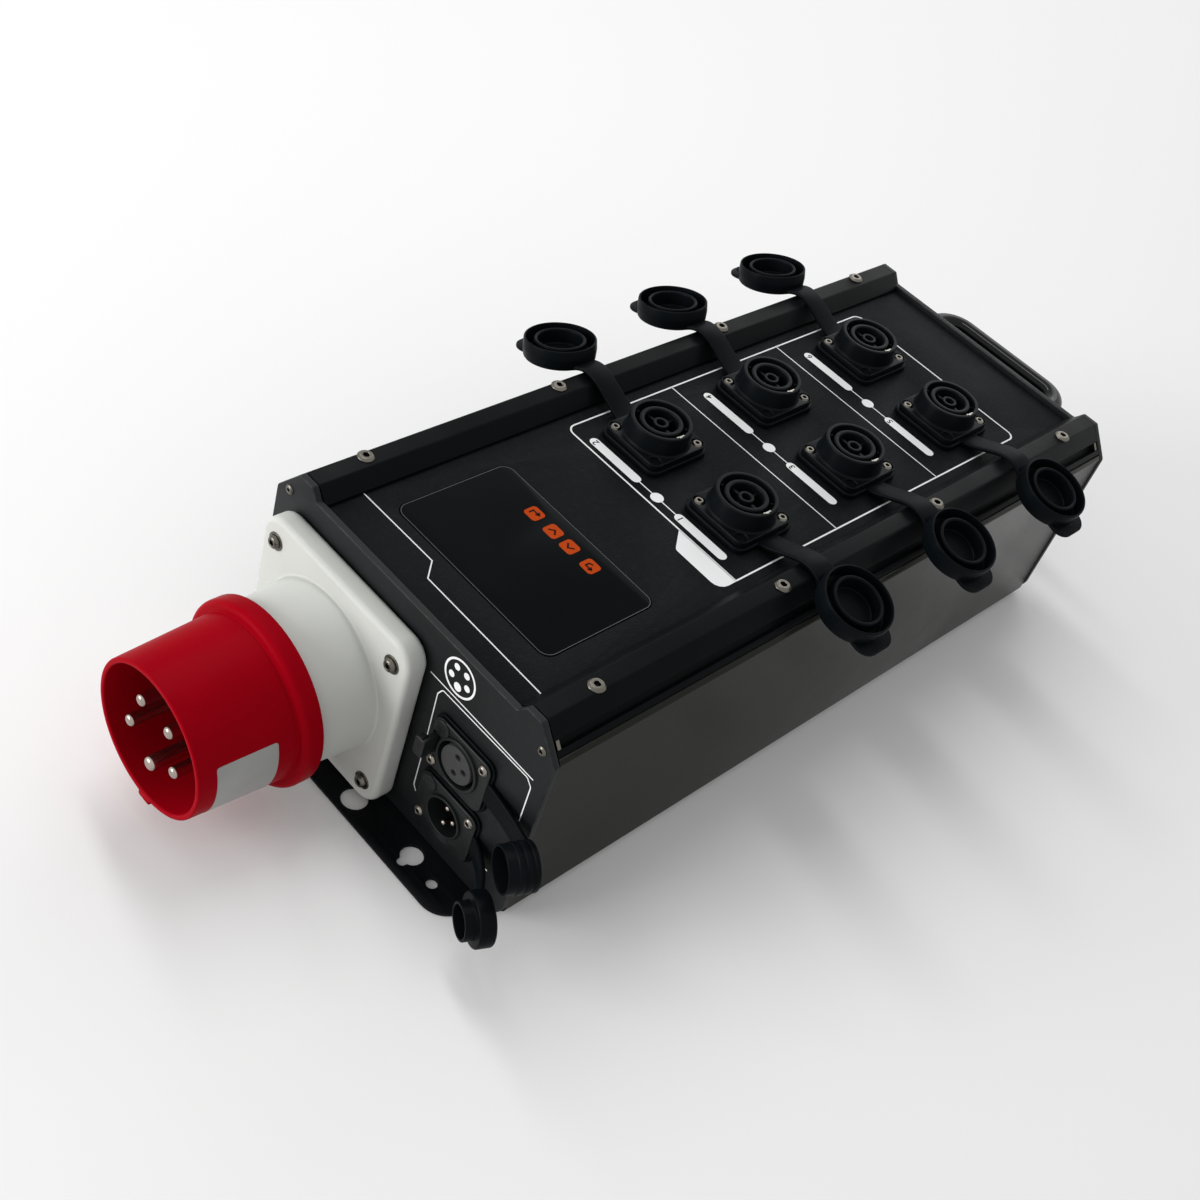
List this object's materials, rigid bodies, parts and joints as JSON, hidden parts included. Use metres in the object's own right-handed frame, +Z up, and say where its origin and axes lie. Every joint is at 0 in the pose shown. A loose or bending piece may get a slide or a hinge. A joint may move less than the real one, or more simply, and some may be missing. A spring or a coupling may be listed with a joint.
{
  "type": "dimmer pack",
  "caption": "Long low stage dimmer pack with a square-flanged mains inlet, data sockets, capped round outlets, a touch display and a carrying bow on a flanged base plate.",
  "frame": {"origin": "middle of the base plate's underside", "axes": "+Y from the mains inlet's end towards the handle, +Z up through the top panel, +X to the right as seen from the inlet's end"},
  "size_m": [0.2146, 0.4774, 0.1134],
  "materials": {
    "black_steel": "black powder coat",
    "gloss_side": "glossy dark anodised or painted sheet",
    "rail_black": "satin black anodised extrusion",
    "end_plate_grey": "matte dark grey powder coat",
    "panel_charcoal": "fine-grained matte charcoal coat",
    "window_black": "polished black acrylic",
    "outlet_black": "moulded black plastic",
    "rubber_black": "soft moulded rubber with a light sheen",
    "inlet_white": "grey-white moulded plastic",
    "inlet_red": "smooth red moulded plastic",
    "nickel": "nickel-plated brass",
    "connector_black": "black die-cast shell",
    "circuit_board": "green solder resist",
    "bare_aluminium": "bare extruded aluminium",
    "choke_copper": "iron-powder ring under enamelled copper wire",
    "terminal_green": "moulded green plastic"
  },
  "bodies": {
    "pack": {"base_plate": "black_steel", "lower_shell": "gloss_side", "left_rail": "rail_black", "right_rail": "rail_black", "front_end_plate": "end_plate_grey", "rear_end_plate": "end_plate_grey", "top_panel": "panel_charcoal", "display_window": "window_black", "outlet_left_1": "outlet_black", "outlet_left_2": "outlet_black", "outlet_left_3": "outlet_black", "outlet_right_1": "outlet_black", "outlet_right_2": "outlet_black", "outlet_right_3": "outlet_black", "outlet_gasket_left_1": "rubber_black", "outlet_gasket_left_2": "rubber_black", "outlet_gasket_left_3": "rubber_black", "outlet_gasket_right_1": "rubber_black", "outlet_gasket_right_2": "rubber_black", "outlet_gasket_right_3": "rubber_black", "inlet_flange": "inlet_white", "inlet_shroud": "inlet_red", "inlet_pin_carrier": "inlet_red", "inlet_pin_1": "nickel", "inlet_pin_2": "nickel", "inlet_pin_3": "nickel", "inlet_pin_4": "nickel", "inlet_pin_5": "nickel", "xlr_female": "connector_black", "xlr_female_gasket": "rubber_black", "xlr_male": "connector_black", "xlr_male_gasket": "rubber_black", "handle": "black_steel", "power_board": "circuit_board", "heat_sink": "bare_aluminium", "choke_1": "choke_copper", "choke_2": "choke_copper", "choke_3": "choke_copper", "choke_4": "choke_copper", "choke_5": "choke_copper", "choke_6": "choke_copper", "board_standoff_1": "nickel", "board_standoff_2": "nickel", "board_standoff_3": "nickel", "board_standoff_4": "nickel", "terminal_block": "terminal_green", "display_module": "outlet_black", "control_board": "circuit_board"},
    "left_cap_1": {"outlet_cap_left_1": "rubber_black"},
    "left_cap_2": {"outlet_cap_left_2": "rubber_black"},
    "left_cap_3": {"outlet_cap_left_3": "rubber_black"},
    "right_cap_1": {"outlet_cap_right_1": "rubber_black"},
    "right_cap_2": {"outlet_cap_right_2": "rubber_black"},
    "right_cap_3": {"outlet_cap_right_3": "rubber_black"},
    "female_cap": {"xlr_female_cap": "rubber_black"},
    "male_cap": {"xlr_male_cap": "rubber_black"},
    "latch": {"xlr_latch": "connector_black"}
  },
  "joints": [
    {"name": "left_cap_1_bend", "type": "hinge", "parent": "pack", "child": "left_cap_1", "pos_m": [-0.05716, -0.0315, 0.11369], "axis": [0, 1, 0], "range_deg": [0, 195]},
    {"name": "left_cap_2_bend", "type": "hinge", "parent": "pack", "child": "left_cap_2", "pos_m": [-0.05716, 0.0404, 0.11369], "axis": [0, 1, 0], "range_deg": [0, 195]},
    {"name": "left_cap_3_bend", "type": "hinge", "parent": "pack", "child": "left_cap_3", "pos_m": [-0.05716, 0.1123, 0.11369], "axis": [0, 1, 0], "range_deg": [0, 195]},
    {"name": "right_cap_1_bend", "type": "hinge", "parent": "pack", "child": "right_cap_1", "pos_m": [0.05716, -0.0315, 0.11369], "axis": [0, -1, 0], "range_deg": [0, 195]},
    {"name": "right_cap_2_bend", "type": "hinge", "parent": "pack", "child": "right_cap_2", "pos_m": [0.05716, 0.0404, 0.11369], "axis": [0, -1, 0], "range_deg": [0, 195]},
    {"name": "right_cap_3_bend", "type": "hinge", "parent": "pack", "child": "right_cap_3", "pos_m": [0.05716, 0.1123, 0.11369], "axis": [0, -1, 0], "range_deg": [0, 195]},
    {"name": "female_cap_bend", "type": "hinge", "parent": "pack", "child": "female_cap", "pos_m": [0.06598, -0.18826, 0.0561], "axis": [0, 0, -1], "range_deg": [0, 156]},
    {"name": "male_cap_bend", "type": "hinge", "parent": "pack", "child": "male_cap", "pos_m": [0.06577, -0.19257, 0.0264], "axis": [0, 0, -1], "range_deg": [0, 156]},
    {"name": "latch_press", "type": "slide", "parent": "pack", "child": "latch", "axis": [0, 1, 0], "range_m": [0, 0.0015], "stiffness_N_per_m": 250, "springref_m": -0.001}
  ]
}
